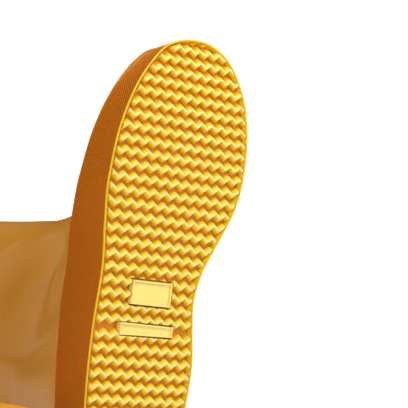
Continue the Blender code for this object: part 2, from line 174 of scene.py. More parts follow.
# Studio. Aimed lights: name, direction from the middle, distance, width, height, power, colour.
LIT_MIDDLE = (0.12, -0.10, 0.15)
AIMED_LIGHTS = (("key", (0.38, -0.52, 0.76), 1.5, 0.55, 0.55, 19.0, (1.0, 1.0, 1.0)),
                ("gloss", (0.58, -0.80, 0.08), 1.6, 1.2, 0.9, 7.0, (1.0, 1.0, 1.0)),
                ("left_fill", (-0.85, -0.42, 0.32), 1.6, 1.0, 1.0, 15.0, (1.0, 0.93, 0.82)))
# Placed lights: name, place, target, width, height, power.
PLACED_LIGHTS = (("overhead", (0.1, 0.25, 1.7), (0.1, 0.05, 0.0), 1.2, 1.2, 9.0),
                 ("back_left", (-0.85, 1.15, 0.75), (0.1, 0.0, 0.10), 1.2, 1.3, 2.0))
BACKDROP_LIGHT = 1.1
AMBIENT_LIGHT = 0.10
FLOOR_SIZE = 12.0
# Near distance, far distance, and the floor's glow at each.
FLOOR_GLOW = (0.6, 2.2, 0.62, 1.05)


# ---------------------------------------------------------------- curves and outlines

def smooth_curve(points):
    """A function that passes smoothly through (position, value) points, for numbers and arrays."""
    xs, ys = np.array(points, dtype=float).T
    steps = np.diff(xs)
    slopes = np.diff(ys) / steps
    tangents = np.concatenate(([slopes[0]], (slopes[:-1] + slopes[1:]) / 2, [slopes[-1]]))
    turning = np.concatenate(([False], slopes[:-1] * slopes[1:] <= 0, [False]))
    tangents[turning] = 0.0

    def value(position):
        position = np.clip(position, xs[0], xs[-1])
        index = np.clip(np.searchsorted(xs, position, side="right") - 1, 0, len(steps) - 1)
        t = (position - xs[index]) / steps[index]
        start = ys[index] * (1 + 2 * t) + tangents[index] * steps[index] * t
        end = ys[index + 1] * (3 - 2 * t) - tangents[index + 1] * steps[index] * (1 - t)
        return start * (1 - t) ** 2 + end * t ** 2

    return value


def smooth_step(low, high, value):
    """Rises smoothly from 0 at low to 1 at high."""
    t = np.clip((value - low) / (high - low), 0.0, 1.0)
    return t * t * (3 - 2 * t)


def spring(forward):
    """Height of the sole's upward curve towards the toe."""
    return np.maximum(forward - SPRING_START, 0.0) ** 2 / (2 * SPRING_RADIUS)


def dense_outline():
    """Closed outline of the sole as (sideways, forward) points: up the outer side, down the inner side."""
    angles = np.linspace(0.0, pi, OUTLINE_ANGLES)
    forward = LENGTH * (1 - np.cos(angles)) / 2
    sides = []
    for edge in (LATERAL_EDGE, MEDIAL_EDGE):
        by_angle = [(np.arccos(1 - 2 * station / LENGTH), side) for station, side in edge]
        sides.append(np.stack((smooth_curve(by_angle)(angles), forward), axis=1))
    return np.concatenate((sides[0], sides[1][-2:0:-1]))


def closed_resample(loop, count):
    """The same closed line with evenly spaced points, and its length."""
    closed = np.concatenate((loop, loop[:1]))
    lengths = np.concatenate(([0.0], np.cumsum(np.linalg.norm(np.diff(closed, axis=0), axis=1))))
    wanted = np.linspace(0.0, lengths[-1], count, endpoint=False)
    return np.stack([np.interp(wanted, lengths, axis) for axis in closed.T], axis=1), lengths[-1]


def outward(loop):
    """Unit normals of a closed line that runs anticlockwise."""
    tangent = np.roll(loop, -1, axis=0) - np.roll(loop, 1, axis=0)
    tangent /= np.linalg.norm(tangent, axis=1)[:, None]
    return np.stack((tangent[:, 1], -tangent[:, 0]), axis=1)


OUTLINE, PERIMETER = closed_resample(dense_outline(), OUTLINE_POINTS)


def sole_loop(inset, count):
    """Evenly spaced closed outline of the sole, moved inwards, with its outward normals."""
    loop = closed_resample(OUTLINE, count)[0]
    normals = outward(loop)
    return loop - normals * inset, normals


def edge_by_angle(inset, side):
    """Sideways position of one edge of the inset sole, as a function of the heel-to-toe angle."""
    loop = OUTLINE - outward(OUTLINE) * inset
    heel, toe = int(np.argmin(loop[:, 1])), int(np.argmax(loop[:, 1]))
    rolled = np.roll(loop, -heel, axis=0)
    toe = (toe - heel) % len(loop)
    half = rolled[:toe + 1] if side > 0 else np.concatenate((rolled[toe:], rolled[:1]))[::-1]
    low, high = half[0, 1], half[-1, 1]
    angles = np.arccos(np.clip(1 - 2 * (half[:, 1] - low) / (high - low), -1.0, 1.0))
    return lambda angle: np.interp(angle, angles, half[:, 0])


LATERAL_SIDE = edge_by_angle(UPPER_INSET, 1)
MEDIAL_SIDE = edge_by_angle(UPPER_INSET, -1)
FRONT_AT = smooth_curve(FRONT_LINE)
BACK_AT = smooth_curve(BACK_LINE)
HEEL_SHARE_AT = smooth_curve(HEEL_SHARE)
INSTEP_SHARE_AT = smooth_curve(INSTEP_SHARE)
HALF_WIDTH_AT = smooth_curve(SHAFT_HALF_WIDTH)


def upper_points(turns, heights):
    """Points of the upper's outside: turns run from the heel along the outer side and back, 0 to 1."""
    turn = np.asarray(turns)[None, :] % 1.0
    height = np.asarray(heights)[:, None]
    lateral = turn <= 0.5
    angle = np.where(lateral, turn, 1.0 - turn) * 2 * pi
    sign = np.where(lateral, 1.0, -1.0)
    sole = np.where(lateral, LATERAL_SIDE(angle), MEDIAL_SIDE(angle))
    morph = smooth_step(MORPH_START, MORPH_END, height)
    back, front = BACK_AT(height), FRONT_AT(height)
    travel = (1 - np.cos(angle)) / 2
    forward = back + (front - back) * travel
    ridge = OUTLINE[0, 0] - RIDGE_AT_TOE * travel - RIDGE_BOW * np.sin(angle) ** 2
    slope = smooth_step(SLOPE_START, SLOPE_END, travel)
    lateral_share = HEEL_SHARE_AT(height) * (1 - slope) + INSTEP_SHARE_AT(height) * slope
    share = np.where(lateral, lateral_share, HEEL_SHARE_AT(height))
    low_down = ridge + (sole - ridge) * share
    sideways = (1 - morph) * low_down + morph * sign * HALF_WIDTH_AT(height) * np.sin(angle)
    return np.stack((sideways, forward, height + spring(forward)), axis=2)


def grid_normals(points, closed):
    """Unit normals of a grid of points whose rows run round the boot and whose columns run upwards."""
    if closed:
        along = np.roll(points, -1, axis=1) - np.roll(points, 1, axis=1)
    else:
        along = np.gradient(points, axis=1)
    up = np.gradient(points, axis=0)
    normals = np.cross(along, up)
    return normals / np.maximum(np.linalg.norm(normals, axis=2), 1e-12)[:, :, None]


# ---------------------------------------------------------------- meshes

def mark_grooves(mesh, shares):
    """Says how deep in a groove each vertex lies, from 0 to 1; the rubber materials paint highlight and
    shade from it.
    """
    layer = mesh.attributes.new(GROOVE, "FLOAT", "POINT")
    layer.data.foreach_set("value", np.clip(np.asarray(shares, dtype=np.float32).ravel(), 0.0, 1.0))


def grid_faces(rows, columns, wrap_rows=False, wrap_columns=False):
    """Quads between the points of a grid, numbered row by row."""
    row = np.arange(rows if wrap_rows else rows - 1)[:, None]
    column = np.arange(columns if wrap_columns else columns - 1)[None, :]
    next_row, next_column = (row + 1) % rows, (column + 1) % columns
    corners = (row * columns + column, row * columns + next_column,
               next_row * columns + next_column, next_row * columns + column)
    return np.stack([np.broadcast_to(corner, (row.shape[0], column.shape[1])) for corner in corners],
                    axis=2).reshape(-1, 4)


def new_mesh(name, points, faces):
    """Mesh from arrays of points and faces."""
    mesh = bpy.data.meshes.new(name)
    places = np.asarray(points, dtype=float).reshape(-1, 3)
    mesh.from_pydata(places.tolist(), [], np.asarray(faces).tolist())
    mesh.update()
    return mesh


def smooth(mesh, angle=40.0):
    """Shades a mesh smooth, except over edges sharper than an angle in degrees."""
    mesh.shade_smooth()
    mesh.set_sharp_from_angle(angle=radians(angle))
    return mesh


def ring_mesh(name, rows):
    """A closed ring swept round the sole: rows of points, one after another round its section."""
    points = np.stack(rows)
    return new_mesh(name, points, grid_faces(points.shape[0], points.shape[1], True, True))


def band_mesh(name, outer, inner, closed):
    """A closed layer between an outer and an inner grid of points."""
    rows, columns = outer.shape[:2]
    if closed:
        section = np.concatenate((outer, inner[::-1]))
        return new_mesh(name, section, grid_faces(2 * rows, columns, True, True))
    mesh = bmesh.new()
    count = rows * columns
    places = np.concatenate((outer.reshape(-1, 3), inner.reshape(-1, 3)))
    verts = [mesh.verts.new(point) for point in places]
    for a, b, c, d in grid_faces(rows, columns):
        mesh.faces.new((verts[a], verts[b], verts[c], verts[d]))
        mesh.faces.new((verts[count + d], verts[count + c], verts[count + b], verts[count + a]))
    last = (rows - 1) * columns
    border = list(range(columns)) + [row * columns + columns - 1 for row in range(1, rows)]
    border += [last + column for column in range(columns - 2, -1, -1)]
    border += [row * columns for row in range(rows - 2, 0, -1)]
    for here, there in zip(border, border[1:] + border[:1]):
        mesh.faces.new((verts[there], verts[here], verts[count + here], verts[count + there]))
    data = bpy.data.meshes.new(name)
    mesh.to_mesh(data)
    mesh.free()
    return data


def combined(name, target, tool, operation):
    """Mesh of a boolean of two closed meshes."""
    items = [bpy.data.objects.new(name, mesh) for mesh in (target, tool)]
    for item in items:
        bpy.context.scene.collection.objects.link(item)
    step = items[0].modifiers.new(operation.lower(), "BOOLEAN")
    step.object = items[1]
    step.operation = operation
    step.solver = "EXACT"
    view = bpy.context.evaluated_depsgraph_get()
    view.update()
    result = bpy.data.meshes.new_from_object(items[0].evaluated_get(view))
    for item in items:
        bpy.data.objects.remove(item, do_unlink=True)
    result.name = name
    return result


def prism(name, loop, low, high):
    """A closed prism over a closed plane outline."""
    count = len(loop)
    bottom = np.column_stack((loop, np.full(count, low)))
    top = np.column_stack((loop, np.full(count, high)))
    sides = [(i, (i + 1) % count, count + (i + 1) % count, count + i) for i in range(count)]
    faces = sides + [tuple(range(count - 1, -1, -1)), tuple(range(count, 2 * count))]
    mesh = bpy.data.meshes.new(name)
    mesh.from_pydata(np.concatenate((bottom, top)).tolist(), [], faces)
    return mesh


# ---------------------------------------------------------------- sole unit

def tread_place(medial, toeward):
    """Point of the sole from its place along and across the turned rows of the tread."""
    across = medial * cos(TREAD_TURN) - toeward * sin(TREAD_TURN)
    forward = TREAD_ORIGIN + medial * sin(TREAD_TURN) + toeward * cos(TREAD_TURN)
    return np.stack((-across, forward), axis=-1)


def zigzag(medial):
    """Wave of the ridges, with slightly rounded corners."""
    total = 0.0
    shifts = np.linspace(-1.0, 1.0, 9) * 0.45 * MM
    for shift in shifts:
        phase = (medial + shift) / ZIGZAG_PERIOD
        sawtooth = np.abs((phase - 0.25) % 1.0 - 0.5) * 4 - 1
        total = total + sawtooth * ZIGZAG_RISE / 2
    return total / len(shifts)


def tread_mesh():
    """The outsole before its toe spring: a slab whose ground side carries the zigzag ridges."""
    centres = [(row * TREAD_PITCH + RIDGE_OFFSET) for row in np.arange(FIRST_FOREFOOT_RIDGE, 20)]
    centres = [centre for centre in centres if centre < TOE_ROW_LIMIT]
    centres += [row * TREAD_PITCH + RIDGE_OFFSET for row in np.arange(HEEL_RIDGE, -24, -1)]
    lines = sorted((centre + offset * MM, share) for centre in centres for offset, share in RIDGE_SECTION)
    lines = [(TREAD_REACH[0], 1.0)] + lines + [(TREAD_REACH[1], 1.0)]
    half_wave = ZIGZAG_PERIOD / 2
    corners = np.arange(-16, 16) * half_wave + half_wave / 2
    columns = np.sort(np.concatenate([corners + shift * MM for shift in (-0.45, 0.0, 0.45)]))
    toeward = np.array([line[0] for line in lines])[:, None] + zigzag(columns)[None, :]
    medial = np.broadcast_to(columns[None, :], toeward.shape)
    depth = np.broadcast_to(np.array([line[1] for line in lines])[:, None] * TREAD_DEPTH, toeward.shape)
    ground = np.concatenate((tread_place(medial, toeward), depth[:, :, None]), axis=2)
    rows, width = depth.shape
    faces = grid_faces(rows, width).tolist()
    border = list(range(width)) + [row * width + width - 1 for row in range(1, rows)]
    border += [(rows - 1) * width + column for column in range(width - 2, -1, -1)]
    border += [row * width for row in range(rows - 2, 0, -1)]
    points = ground.reshape(-1, 3)
    roof = points[border].copy()
    roof[:, 2] = OUTSOLE_THICKNESS
    start = len(points)
    count = len(border)
    for index in range(count):
        following = (index + 1) % count
        faces.append((border[following], border[index], start + index, start + following))
    faces.append(tuple(range(start + count - 1, start - 1, -1)))
    mesh = bpy.data.meshes.new("tread")
    mesh.from_pydata(np.concatenate((points, roof)).tolist(), [], faces)
    tidy = bmesh.new()
    tidy.from_mesh(mesh)
    bmesh.ops.recalc_face_normals(tidy, faces=tidy.faces)
    tidy.to_mesh(mesh)
    tidy.free()
    return mesh


def turned_box(place, margin, low, high):
    """A box on the sole that lies along the rows of the tread."""
    forward, sideways, length, width = place
    half_length, half_width = length / 2 + margin, width / 2 + margin
    corners = np.array(((-half_width, -half_length), (half_width, -half_length),
                        (half_width, half_length), (-half_width, half_length)))
    turned = np.stack((corners[:, 0] * cos(TREAD_TURN) + corners[:, 1] * sin(TREAD_TURN),
                       -corners[:, 0] * sin(TREAD_TURN) + corners[:, 1] * cos(TREAD_TURN)), axis=1)
    return prism("box", turned + (sideways, forward), low, high)


def outsole_mesh():
    """Tread sole: the ridged slab cut to the outline, with pockets for the plates and the toe spring."""
    outline = sole_loop(RIM_WIDTH + GAP, OUTSOLE_POINTS)[0]
    mesh = combined("outsole", tread_mesh(), prism("outline", outline, -0.010, 0.030), "INTERSECT")
    pocket = turned_box(WAIST_PANEL, PLATE_MARGIN, -OUTSOLE_THICKNESS, POCKET_DEPTH)
    mesh = combined("outsole", mesh, pocket, "DIFFERENCE")
    pocket = turned_box(BREAST_BAR, PLATE_MARGIN / 2, -OUTSOLE_THICKNESS, TREAD_DEPTH)
    mesh = combined("outsole", mesh, pocket, "DIFFERENCE")
    body = bmesh.new()
    body.from_mesh(mesh)
    for forward in np.arange(SPRING_START, LENGTH, SPRING_CUT_STEP):
        everything = list(body.verts) + list(body.edges) + list(body.faces)
        bmesh.ops.bisect_plane(body, geom=everything, dist=1e-6, plane_co=(0, forward, 0),
                               plane_no=(0, 1, 0))
    depths = []
    for vertex in body.verts:
        depths.append(vertex.co.z / TREAD_DEPTH)
        vertex.co.z += float(spring(vertex.co.y))
    body.to_mesh(mesh)
    body.free()
    # Groove marks from the depth: painted highlight on the ridge tops and painted shade down in the
    # grooves.
    mark_grooves(mesh, depths)
    return smooth(mesh, 25.0)


def knurl(columns, height):
    """Relief of the band at one height: beads in slanting rows, from -1 to 1."""
    round_trip = np.arange(columns) / columns * KNURL_COUNT
    pitch = PERIMETER / KNURL_COUNT
    along = np.cos(2 * pi * (round_trip + height / pitch))
    against = np.cos(2 * pi * (round_trip - height / pitch))
    return KNURL_MIX[0] * along + KNURL_MIX[1] * against


def foxing_lean(forward, height):
    """How far the band leans in over the toe."""
    return FOXING_LEAN * smooth_step(LEAN_START, LEAN_END, forward) * height / FOXING_TOP[-1][1]


def knurled_wall(columns, heights, start_fade, end_fade):
    """Relief of the knurled wall, row by row, faded out at its ends."""
    rows = []
    for index, height in enumerate(heights):
        from_end = len(heights) - 1 - index
        fade = min(1.0, index / start_fade if start_fade else 1.0, from_end / end_fade if end_fade else 1.0)
        rows.append(knurl(columns, height) * fade)
    return rows


def wall_ring(name, loop, normals, rows, plain_shade):
    """Ring round the foot from rows of (inset, height, relief); rows with no relief get one share of
    painted shade.
    """
    forward = loop[:, 1]
    points = []
    for inset, height, relief in rows:
        place = loop - normals * (inset - KNURL_DEPTH * relief + foxing_lean(forward, height))[:, None]
        points.append(np.column_stack((place, height + spring(forward))))
    mesh = smooth(ring_mesh(name, points), 60.0)
    # Groove mark from the relief: painted highlight on the bead tops and painted shade in the valleys
    # between them.
    mark_grooves(mesh, [(1.0 - relief) / 2 if np.any(relief) else relief + plain_shade
                        for inset, height, relief in rows])
    return mesh


def rim_mesh():
    """Smooth bead round the edge of the tread, and the lowest part of the knurled wall."""
    columns = KNURL_COUNT * COLUMNS_PER_BEAD
    loop, normals = sole_loop(0.0, columns)
    flat = np.zeros(columns)
    heights = [flat + height for height in np.linspace(WALL_LOW, OUTSOLE_THICKNESS, WALL_ROWS)]
    wall = knurled_wall(columns, heights, 2, 0)
    rows = [(flat + inset * MM, flat + height * MM, flat) for inset, height in BEAD_SECTION]
    rows += [(flat + KNURL_BASE, height, relief) for height, relief in zip(heights, wall)]
    # The bead's plain rows take the flank colour with a little painted shade.
    mesh = wall_ring("sole_rim", loop, normals, rows, PLAIN_ROW_SHADE)
    row_of_face = np.repeat(np.arange(len(rows)), columns)
    on_wall = (row_of_face >= len(BEAD_SECTION) - 1) & (row_of_face < len(rows) - 1)
    mesh.polygons.foreach_set("material_index", on_wall.astype(np.int32))
    return mesh


def foxing_mesh():
    """Band round the foot: knurled wall with a smooth lip along its top."""
    columns = KNURL_COUNT * COLUMNS_PER_BEAD
    loop, normals = sole_loop(0.0, columns)
    flat = np.zeros(columns)
    low = OUTSOLE_THICKNESS + GAP * 0.2
    top = smooth_curve(FOXING_TOP)(loop[:, 1])
    rows = [(flat + FOXING_THICKNESS, flat + low, flat),
            (flat + KNURL_BASE + KNURL_DEPTH, flat + low, flat)]
    heights = [low + (top - LIP_DROP - low) * share for share in np.linspace(0.0, 1.0, BAND_ROWS)]
    wall = knurled_wall(columns, heights, 0, 2)
    rows += [(flat + KNURL_BASE, height, relief) for height, relief in zip(heights, wall)]
    rows += [(flat + inset * MM, top + drop * MM, flat) for inset, drop in LIP_SECTION]
    # The band's plain rows at its foot and along the lip take the flank colour with a little painted shade.
    return wall_ring("foxing", loop, normals, rows, PLAIN_ROW_SHADE)


def plate_mesh(name, place, taper):
    """Blank moulded plate: a thin rim round a sunk floor, with slightly sloping walls."""
    forward, sideways, length, width = place
    mesh = bmesh.new()
    loops = []
    rim = PLATE_RIM / MM
    section = ((-0.25, PLATE_HEIGHT), (0.0, 0.25 * MM), (0.12, 0.0), (rim - 0.1, 0.0),
               (rim + 0.1, 0.2 * MM), (rim + 0.3, PLATE_SINK))
    for inset, height in section:
        half_width = width / 2 - inset * MM
        corners = []
        for x, y in ((-1, -1), (1, -1), (1, 1), (-1, 1)):
            reach = length / 2 * (taper if x < 0 else 1.0) - inset * MM
            corners.append((x * half_width, y * reach))
        loop = []
        for x, y in corners:
            across = x * cos(TREAD_TURN) + y * sin(TREAD_TURN)
            along = -x * sin(TREAD_TURN) + y * cos(TREAD_TURN)
            loop.append(mesh.verts.new((across + sideways, along + forward, height)))
        loops.append(loop)
    for lower, upper in zip(loops[:-1], loops[1:]):
        for index in range(4):
            following = (index + 1) % 4
            mesh.faces.new((lower[index], lower[following], upper[following], upper[index]))
    mesh.faces.new(loops[-1])
    mesh.faces.new(loops[0][::-1])
    bmesh.ops.recalc_face_normals(mesh, faces=mesh.faces)
    data = bpy.data.meshes.new(name)
    mesh.to_mesh(data)
    mesh.free()
    return smooth(data, 20.0)


# ---------------------------------------------------------------- upper and inside

def upper_heights():
    """Heights of the upper's rings, closest together over the instep."""
    return np.concatenate((np.linspace(OUTSOLE_THICKNESS + GAP, 0.034, 8), np.linspace(0.036, 0.105, 64),
                           np.linspace(0.108, HEIGHT - 0.002, 60)))


UPPER_TURNS = np.linspace(0.0, 1.0, UPPER_COLUMNS, endpoint=False)


def upper_surface(turns, heights, closed, offset=0.0):
    """Grid of points at an offset outwards from the upper's outside."""
    points = upper_points(turns, heights)
    normals = grid_normals(points, closed)
    return points + normals * np.broadcast_to(offset, points.shape[:2])[:, :, None]


def upper_mesh():
    """Vamp and shaft: one shell with a rounded top edge."""
    heights = upper_heights()
    outer = upper_surface(UPPER_TURNS, heights, True)
    inner = upper_surface(UPPER_TURNS, heights, True, -UPPER_THICKNESS)
    inner[0] = outer[0] + (inner[0] - outer[0]) * (1, 1, 0)
    top = (outer[-1] + inner[-1]) / 2
    top[:, 2] = HEIGHT
    shoulder = outer[-1] * 0.75 + inner[-1] * 0.25
    shoulder[:, 2] = HEIGHT - CUFF_ROUNDING
    inner_shoulder = outer[-1] * 0.25 + inner[-1] * 0.75
    inner_shoulder[:, 2] = HEIGHT - CUFF_ROUNDING
    outer = np.concatenate((outer, shoulder[None], top[None]))
    inner = np.concatenate((inner, inner_shoulder[None]))
    section = np.concatenate((outer, inner[::-1]))
    return smooth(new_mesh("upper", section, grid_faces(len(section), section.shape[1], True, True)), 60.0)


def lining_mesh():
    """Knit sock just inside the upper."""
    depth = UPPER_THICKNESS + GAP
    heights = np.concatenate(([LINING_START + 0.002], upper_heights()[6:]))
    outer = upper_surface(UPPER_TURNS, heights, True, -depth)
    inner = upper_surface(UPPER_TURNS, heights, True, -depth - LINING_THICKNESS)
    return smooth(band_mesh("lining", outer, inner, True), 60.0)


def layer_mesh(name, turns, heights, closed, thickness, feather):
    """A thin layer on the outside of the upper, feathered towards its open edges."""
    rows, columns = len(heights), len(turns)
    low = upper_surface(turns, heights, closed, GAP * 0.5)
    row_fade = np.sin(pi / 2 * np.clip(np.minimum(np.arange(rows), np.arange(rows)[::-1]) / feather, 0, 1))
    fade = row_fade[:, None] * np.ones((1, columns))
    if not closed:
        edge = np.minimum(np.arange(columns), np.arange(columns)[::-1])
        fade = fade * np.sin(pi / 2 * np.clip(edge / feather, 0, 1))[None, :]
    high = upper_surface(turns, heights, closed, GAP + thickness * fade)
    return smooth(band_mesh(name, high, low, closed), 60.0)


def toe_cap_mesh():
    """Reinforcing layer over the toe."""
    turns = np.linspace(*TOE_CAP_TURNS, LAYER_COLUMNS)
    heights = np.linspace(*TOE_CAP_HEIGHTS, 44)
    return layer_mesh("toe_cap", turns, heights, False, TOE_CAP_THICKNESS, 3)


def heel_counter_mesh():
    """Reinforcing layer round the heel."""
    turns = np.linspace(*COUNTER_TURNS, LAYER_COLUMNS)
    heights = np.linspace(*COUNTER_HEIGHTS, 60)
    return layer_mesh("heel_counter", turns, heights, False, COUNTER_THICKNESS, 14)


def top_band_mesh():
    """Binding round the top of the shaft."""
    heights = np.linspace(HEIGHT - TOP_BAND_HEIGHT, HEIGHT - 0.0002, 24)
    return layer_mesh("top_band", UPPER_TURNS, heights, True, TOP_BAND_THICKNESS, 3)


def plate_layer(name, inset, low, high):
    """A flat layer with rounded edges that follows the toe spring."""
    rows = []
    mesh = bmesh.new()
    edge = 0.8 * MM
    for step, height in ((0.0, low), (0.0, high - edge), (edge * 0.3, high - edge * 0.3), (edge, high)):
        loop = sole_loop(inset + step, UPPER_COLUMNS)[0]
        rows.append([mesh.verts.new((x, y, height + float(spring(y)))) for x, y in loop])
    for lower, upper in zip(rows[:-1], rows[1:]):
        for index in range(len(lower)):
            following = (index + 1) % len(lower)
            mesh.faces.new((lower[index], lower[following], upper[following], upper[index]))
    count = len(rows[0])
    for row, flip in ((rows[0], True), (rows[-1], False)):
        order = sorted(range(count), key=lambda index: row[index].co.y)
        toe = order[-1]
        heel = order[0]
        rolled = row[heel:] + row[:heel]
        split = (toe - heel) % count
        lateral = rolled[:split + 1]
        medial = (rolled[split:] + rolled[:1])[::-1]
        rungs = min(len(lateral), len(medial))
        lateral = [lateral[round(i * (len(lateral) - 1) / (rungs - 1))] for i in range(rungs)]
        medial = [medial[round(i * (len(medial) - 1) / (rungs - 1))] for i in range(rungs)]
        for i in range(rungs - 1):
            corners = list(dict.fromkeys((lateral[i], lateral[i + 1], medial[i + 1], medial[i])))
            if len(corners) > 2:
                mesh.faces.new(corners[::-1] if flip else corners)
    bmesh.ops.holes_fill(mesh, edges=[e for e in mesh.edges if e.is_boundary], sides=0)
    bmesh.ops.recalc_face_normals(mesh, faces=mesh.faces)
    data = bpy.data.meshes.new(name)
    mesh.to_mesh(data)
    mesh.free()
    return smooth(data, 50.0)


# ---------------------------------------------------------------- materials

def add_node(tree, kind, **inputs):
    """New shader node with some of its inputs set."""
    node = tree.nodes.new(kind)
    for name, value in inputs.items():
        node.inputs[name.replace("_", " ")].default_value = value
    return node


def noise(tree, scale, detail=2.0):
    """Noise in the piece's own coordinates, in metres."""
    place = tree.nodes.get("Texture Coordinate") or tree.nodes.new("ShaderNodeTexCoord")
    texture = add_node(tree, "ShaderNodeTexNoise", Scale=scale, Detail=detail)
    tree.links.new(place.outputs["Object"], texture.inputs["Vector"])
    return texture.outputs["Fac"]


def ramp(tree, source, stops):
    """Colour ramp: stops are (position, colour)."""
    node = tree.nodes.new("ShaderNodeValToRGB")
    elements = node.color_ramp.elements
    while len(elements) < len(stops):
        elements.new(0.5)
    for element, (position, color) in zip(elements, stops):
        element.position = position
        element.color = (*color, 1.0)
    tree.links.new(source, node.inputs["Fac"])
    return node.outputs["Color"]


def spread(tree, source, low, high):
    """Stretches the middle of a noise over a range of values."""
    node = add_node(tree, "ShaderNodeMapRange", To_Min=low, To_Max=high)
    node.inputs["From Min"].default_value = 0.3
    node.inputs["From Max"].default_value = 0.7
    tree.links.new(source, node.inputs["Value"])
    return node.outputs["Result"]


def material_with(name):
    """New material with its node tree and its shader."""
    material = bpy.data.materials.new(name)
    material.use_nodes = True
    return material, material.node_tree, material.node_tree.nodes["Principled BSDF"]


def add_bump(tree, shader, height, distance):
    """Gives a shader a fine relief."""
    bump = add_node(tree, "ShaderNodeBump", Distance=distance, Strength=1.0)
    tree.links.new(height, bump.inputs["Height"])
    tree.links.new(bump.outputs["Normal"], shader.inputs["Normal"])


def painted_depth_shading(tree, color, flank_color, groove_shade_color):
    """Mixes by the groove mark: the given colour on tops, the flank colour on flanks, painted shade in
    grooves.
    """
    groove = tree.nodes.new("ShaderNodeAttribute")
    groove.attribute_name = GROOVE
    shade_ramp = ramp(tree, groove.outputs["Fac"], ((FLANK_DEPTH, flank_color), (1.0, groove_shade_color)))
    reach = add_node(tree, "ShaderNodeMapRange")
    reach.inputs["From Max"].default_value = FLANK_DEPTH
    mix = tree.nodes.new("ShaderNodeMix")
    mix.data_type = "RGBA"
    tree.links.new(groove.outputs["Fac"], reach.inputs["Value"])
    tree.links.new(reach.outputs["Result"], mix.inputs["Factor"])
    tree.links.new(color, next(i for i in mix.inputs if i.name == "A" and i.type == "RGBA"))
    tree.links.new(shade_ramp, next(i for i in mix.inputs if i.name == "B" and i.type == "RGBA"))
    return next(o for o in mix.outputs if o.type == "RGBA")


def rubber(name, dark, light, flank_color, groove_shade_color, roughness, grain_scale, grain_depth, specular):
    """Moulded rubber: faint mottling, uneven gloss, a fine grain, and painted highlight and shade set by
    groove depth.
    """
    material, tree, shader = material_with(name)
    # On the sole and the foxing these mottled colours are painted highlight.
    mottling = ramp(tree, noise(tree, 38.0, 3.0), ((0.35, dark), (0.65, light)))
    tree.links.new(painted_depth_shading(tree, mottling, flank_color, groove_shade_color), shader.inputs["Base Color"])
    tree.links.new(spread(tree, noise(tree, 160.0, 2.0), *roughness), shader.inputs["Roughness"])
    shader.inputs["Specular IOR Level"].default_value = specular
    add_bump(tree, shader, noise(tree, grain_scale, 3.0), grain_depth)
    return material


def knit(name, dark, light):
    """Fine knitted lining: small loops packed close together."""
    material, tree, shader = material_with(name)
    place = tree.nodes.new("ShaderNodeAttribute")
    place.attribute_name = BOOT_PLACE
    loops = add_node(tree, "ShaderNodeTexVoronoi", Scale=700.0)
    tree.links.new(place.outputs["Vector"], loops.inputs["Vector"])
    tree.links.new(ramp(tree, loops.outputs["Distance"], ((0.1, light), (0.7, dark))),
                   shader.inputs["Base Color"])
    shader.inputs["Roughness"].default_value = 0.95
    shader.inputs["Sheen Weight"].default_value = 0.2
    add_bump(tree, shader, loops.outputs["Distance"], 0.0002)
    return material


def plain(name, dark, light, roughness, scale, metallic=0.0):
    """Mottled material with a faint grain, for the pieces closed up inside."""
    material, tree, shader = material_with(name)
    mottling = ramp(tree, noise(tree, scale), ((0.35, dark), (0.65, light)))
    tree.links.new(mottling, shader.inputs["Base Color"])
    shader.inputs["Roughness"].default_value = roughness
    shader.inputs["Metallic"].default_value = metallic
    add_bump(tree, shader, noise(tree, scale * 8), 0.0001)
    return material


SLOT_MATERIALS = {"sole_rim": ("sole_rubber", "foxing_rubber")}
MATERIALS = {
    # The upper's pieces carry no groove marks, so only its mottled colour shows and its shade colours are
    # unused.
    "upper_rubber": rubber("upper_rubber", (0.67, 0.288, 0.020), (0.70, 0.304, 0.022), (0.62, 0.25, 0.015),
                           (0.45, 0.16, 0.006), (0.14, 0.18), 900.0, 0.000008, 0.5),
    # Foxing: the lighter mottled colours are painted highlight on the bead tops, the flank colour is the
    # rubber's own amber, and the groove colour is painted shade in the knurl's valleys.
    "foxing_rubber": rubber("foxing_rubber", (0.78, 0.262, 0.006), (0.84, 0.290, 0.008),
                            (0.52, 0.145, 0.002), (0.13, 0.022, 0.001), (0.42, 0.55), 900.0, 0.00004, 0.10),
    # Sole: the cream mottled colours are painted highlight on the ridge tops and all over the plates, the
    # flank colour is the rubber's own yellow, and the groove colour is painted shade.
    "sole_rubber": rubber("sole_rubber", (0.76, 0.60, 0.16), (0.81, 0.64, 0.20), (0.76, 0.52, 0.012),
                          (0.58, 0.21, 0.001), (0.26, 0.40), 500.0, 0.00010, 0.26),
    "lining_knit": knit("lining_knit", (0.30, 0.25, 0.18), (0.62, 0.56, 0.44)),
    "filler_rubber": plain("filler_rubber", (0.20, 0.13, 0.06), (0.27, 0.18, 0.09), 0.8, 60.0),
    "insole_board": plain("insole_board", (0.25, 0.17, 0.10), (0.32, 0.23, 0.14), 0.9, 90.0),
    "footbed_foam": plain("footbed_foam", (0.035, 0.035, 0.04), (0.07, 0.07, 0.075), 0.9, 300.0),
    "shank_steel": plain("shank_steel", (0.45, 0.46, 0.48), (0.6, 0.61, 0.63), 0.35, 40.0, 1.0),
}


# ---------------------------------------------------------------- placing the pieces

def mount_place(name):
    """Position of a mount of the CAD record."""
    return Vector(next(mount for mount in frame["record"]["mounts"]
                       if mount["name"] == name)["pos_m"])


def boot_matrix(rotation, mount):
    """Place of a boot's own frame, from the way it is turned and from its sole mount."""
    turn = Euler(rotation).to_matrix()
    origin = mount_place(mount) - turn @ Vector((0.0, MOUNT_FORWARD, 0.0))
    return Matrix.Translation(origin) @ turn.to_4x4()


